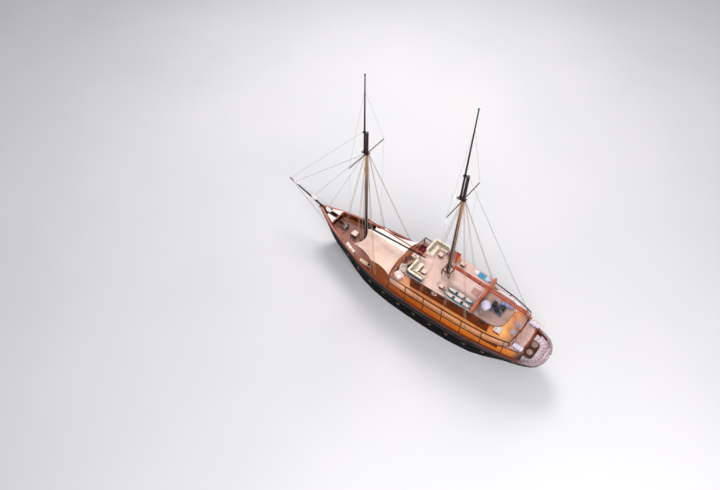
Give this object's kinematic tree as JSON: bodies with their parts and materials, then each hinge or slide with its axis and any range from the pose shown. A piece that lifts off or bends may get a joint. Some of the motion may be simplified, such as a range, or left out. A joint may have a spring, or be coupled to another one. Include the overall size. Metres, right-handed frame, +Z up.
{
  "type": "tall ship",
  "caption": "Wooden sailing ship with tall masts, long bowsprit, black hull, stacked deckhouses, railed decks, a sun deck with sofas, an awning and long booms.",
  "frame": {"origin": "on the waterline, amidships, on the centre plane", "axes": "+X towards the bow, +Y to port, +Z up"},
  "size_m": [37.7366, 7.64, 32.09],
  "materials": {
    "black_paint": "gloss",
    "red_brown_paint": "satin",
    "dark_wood": "satin",
    "teak_deck": "matte",
    "varnished_wood": "gloss",
    "cream_fabric": "matte",
    "white_paint": "satin",
    "white_fabric": "matte",
    "white_plastic": "gloss",
    "grey_metal": "satin",
    "rigging_line": "matte",
    "teal_plastic": "gloss",
    "blue_plastic": "gloss",
    "bronze": "satin"
  },
  "bodies": {
    "ship": {"hull": "black_paint", "cap_rail": "red_brown_paint", "bowsprit": "dark_wood", "bow_platform": "red_brown_paint", "bow_pad_port": "white_fabric", "bow_pad_starboard": "white_fabric", "headsail_bundles": "white_fabric", "windlass": "grey_metal", "deck_hatch": "varnished_wood", "lounger": "cream_fabric", "foredeck_bench": "cream_fabric", "foremast": "dark_wood", "fore_topmast": "red_brown_paint", "aft_mast": "dark_wood", "aft_topmast": "red_brown_paint", "upper_deck": "teak_deck", "deck_posts_port": "dark_wood", "deck_posts_starboard": "dark_wood", "upper_rail_port": "dark_wood", "upper_rail_starboard": "dark_wood", "upper_rail_front": "red_brown_paint", "upper_rail_aft": "dark_wood", "main_house_wall_port": "varnished_wood", "main_house_wall_starboard": "varnished_wood", "main_house_wall_front": "varnished_wood", "main_house_wall_aft": "varnished_wood", "upper_house_wall_port": "varnished_wood", "upper_house_wall_starboard": "varnished_wood", "upper_house_wall_front": "varnished_wood", "upper_house_wall_aft": "varnished_wood", "sun_deck": "teak_deck", "aft_roof": "teak_deck", "sofa_port": "cream_fabric", "sofa_starboard": "cream_fabric", "companion": "red_brown_paint", "sun_deck_stairs": "varnished_wood", "kayak_outer": "teal_plastic", "kayak_inner": "teal_plastic", "paddle_board": "blue_plastic", "cross_bench": "red_brown_paint", "satellite_dome": "white_plastic", "roof_equipment": "grey_metal", "tender": "white_plastic", "raft_canister_port": "white_plastic", "raft_canister_starboard": "white_plastic", "stern_bench": "cream_fabric", "stern_tables": "varnished_wood", "ensign_staff": "white_paint", "awning": "cream_fabric", "fore_rigging": "rigging_line", "aft_rigging": "rigging_line"},
    "rudder": {"rudder": "black_paint"},
    "propeller": {"propeller": "bronze"},
    "hatch_lid": {"deck_hatch_lid": "white_paint"},
    "fore_boom": {"fore_boom": "dark_wood"},
    "fore_gaff": {"fore_gaff": "red_brown_paint"},
    "main_boom": {"main_boom": "red_brown_paint", "main_gaff": "red_brown_paint"},
    "main_house_door": {"main_house_door": "dark_wood"},
    "upper_house_door": {"upper_house_door": "dark_wood"}
  },
  "joints": [
    {"name": "rudder_turn", "type": "hinge", "parent": "ship", "child": "rudder", "pos_m": [-12.15, 0, -1.1], "axis": [0, 0, 1], "range_deg": [-35, 35]},
    {"name": "propeller_spin", "type": "hinge", "parent": "ship", "child": "propeller", "pos_m": [-11.3, 0, -1.35], "axis": [1, 0, 0], "continuous": true},
    {"name": "hatch_lid_hinge", "type": "hinge", "parent": "ship", "child": "hatch_lid", "pos_m": [9.95, 0, 3.8554], "axis": [0, -1, 0], "range_deg": [0, 80]},
    {"name": "fore_boom_lift", "type": "hinge", "parent": "ship", "child": "fore_boom", "pos_m": [8.22, 0, 6.64], "axis": [0, 1, 0], "range_deg": [0, 50]},
    {"name": "fore_gaff_lift", "type": "hinge", "parent": "ship", "child": "fore_gaff", "pos_m": [8.22, 0, 7.95], "axis": [0, 1, 0], "range_deg": [0, 60]},
    {"name": "main_boom_swing", "type": "hinge", "parent": "ship", "child": "main_boom", "pos_m": [-3.37, 0, 8.92], "axis": [0, 0, 1], "range_deg": [-12, 12]},
    {"name": "main_house_door_hinge", "type": "hinge", "parent": "ship", "child": "main_house_door", "pos_m": [1.29, 0, 3.5], "axis": [0, 0, -1], "range_deg": [0, 100]},
    {"name": "upper_house_door_hinge", "type": "hinge", "parent": "ship", "child": "upper_house_door", "pos_m": [-9.69, 0, 5.8], "axis": [0, 0, 1], "range_deg": [0, 100]}
  ],
  "couplings": [
    {"joint": "fore_gaff_lift", "follows": "fore_boom_lift", "ratio": 1.2}
  ]
}
